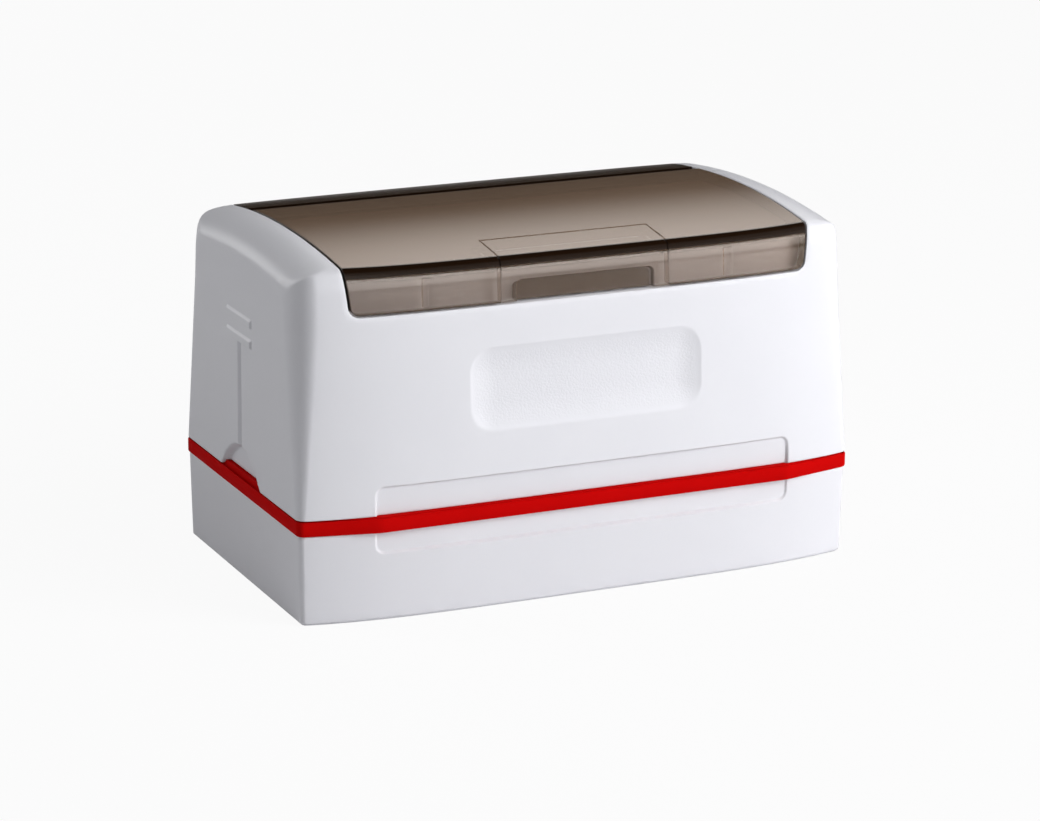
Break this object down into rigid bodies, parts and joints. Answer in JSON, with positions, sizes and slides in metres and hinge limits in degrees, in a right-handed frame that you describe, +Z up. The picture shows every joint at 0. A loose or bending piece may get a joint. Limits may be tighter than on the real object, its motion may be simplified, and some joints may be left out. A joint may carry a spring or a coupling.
{
  "type": "pre-inked stamp",
  "caption": "Rectangular pre-inked hand stamp in its dust cap, with a white housing, a smoked flip lid, a red guide frame and a sprung skirt round the die.",
  "frame": {"origin": "middle of the underside of the dust cap", "axes": "+X along the width, to the right as seen from the front; -Y is the front with the plaque; +Z is up"},
  "size_m": [0.1002, 0.0592, 0.06],
  "materials": {
    "white_plastic": "satin moulded",
    "red_plastic": "glossy moulded",
    "smoked_plastic": "polished see-through",
    "charcoal_plastic": "fine spark-eroded",
    "tube_plastic": "milky",
    "card": "uncoated card",
    "steel": "drawn wire",
    "plug_rubber": "matte",
    "die_rubber": "microporous",
    "ink_foam": "ink-soaked foam"
  },
  "bodies": {
    "dust_cap": {"dust_cap": "white_plastic"},
    "stamp_body": {"housing": "white_plastic", "guide_frame": "red_plastic", "rear_cover": "smoked_plastic", "label_card": "card", "ink_plug_left": "plug_rubber", "ink_plug_right": "plug_rubber", "ink_tube_left": "tube_plastic", "ink_tube_right": "tube_plastic", "die_carrier": "charcoal_plastic", "carrier_screws": "steel", "ink_pad": "ink_foam", "stamp_die": "die_rubber", "die_frame": "charcoal_plastic", "lid_hinge_pin_left": "steel", "lid_hinge_pin_right": "steel", "return_spring_front_left": "steel", "return_spring_front_right": "steel", "return_spring_back_left": "steel", "return_spring_back_right": "steel"},
    "skirt": {"skirt": "charcoal_plastic"},
    "lid": {"lid": "smoked_plastic"},
    "lid_latch": {"lid_latch": "smoked_plastic", "latch_pin_left": "steel", "latch_pin_right": "steel"}
  },
  "joints": [
    {"name": "stamp_lift", "type": "slide", "parent": "dust_cap", "child": "stamp_body", "axis": [0, 0, 1], "range_m": [0, 0.035]},
    {"name": "skirt_press", "type": "slide", "parent": "stamp_body", "child": "skirt", "axis": [0, 0, 1], "range_m": [0, 0.0036], "stiffness_N_per_m": 2100, "springref_m": -0.004, "deforming": ["return_spring_front_left", "return_spring_front_right", "return_spring_back_left", "return_spring_back_right"]},
    {"name": "lid_hinge", "type": "hinge", "parent": "stamp_body", "child": "lid", "pos_m": [0, 0.0148, 0.05777], "axis": [-1, 0, 0], "range_deg": [0, 95]},
    {"name": "latch_flex", "type": "hinge", "parent": "lid", "child": "lid_latch", "pos_m": [0, -0.0201, 0.05781], "axis": [-1, 0, 0], "range_deg": [0, 8], "stiffness_Nm_per_rad": 0.02, "springref_deg": -2.86}
  ]
}
